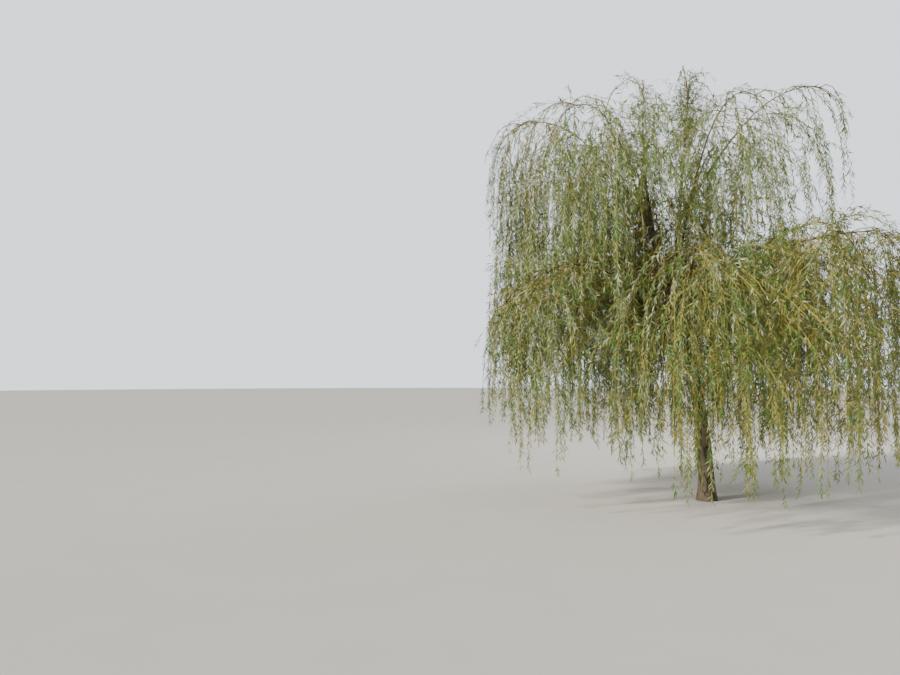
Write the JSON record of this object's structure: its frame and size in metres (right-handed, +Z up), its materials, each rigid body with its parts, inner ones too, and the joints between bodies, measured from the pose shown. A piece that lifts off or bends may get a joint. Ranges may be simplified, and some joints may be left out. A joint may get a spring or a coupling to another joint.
{
  "type": "weeping willow tree",
  "caption": "Leaning trunk with root flare and a fork into two leaders, boughs that arch outwards, and foliage that hangs nearly to the ground round an open space",
  "frame": {"origin": "the middle of the flat cut under the trunk, at ground level", "axes": "+Z is up, +X is to the right as the picture shows the tree, and -Y is towards the viewer"},
  "size_m": [5.3177, 5.0269, 5.4853],
  "materials": {
    "bark": "rough grey-brown bark",
    "foliage": "matte olive leaves on golden twigs"
  },
  "bodies": {
    "root": {"trunk": "bark", "leader_left": "bark", "leader_centre": "bark", "bough_low_right": "bark", "bough_low_back_right": "bark", "bough_low_back": "bark", "bough_low_back_left": "bark", "bough_low_left": "bark", "bough_low_front_left": "bark", "bough_low_front": "bark", "bough_low_front_right": "bark", "bough_inner_right": "bark", "bough_inner_back": "bark", "bough_inner_left": "bark", "bough_inner_front": "bark", "bough_high_right": "bark", "bough_high_back_right": "bark", "bough_high_back_left": "bark", "bough_high_left": "bark", "bough_high_front_left": "bark", "bough_high_front_right": "bark", "foliage_top_left": "foliage", "foliage_top_centre": "foliage", "foliage_low_right": "foliage", "foliage_low_back_right": "foliage", "foliage_low_back": "foliage", "foliage_low_back_left": "foliage", "foliage_low_left": "foliage", "foliage_low_front_left": "foliage", "foliage_low_front": "foliage", "foliage_low_front_right": "foliage", "foliage_inner_right": "foliage", "foliage_inner_back": "foliage", "foliage_inner_left": "foliage", "foliage_inner_front": "foliage", "foliage_high_right": "foliage", "foliage_high_back_right": "foliage", "foliage_high_back_left": "foliage", "foliage_high_left": "foliage", "foliage_high_front_left": "foliage", "foliage_high_front_right": "foliage"}
  },
  "joints": []
}
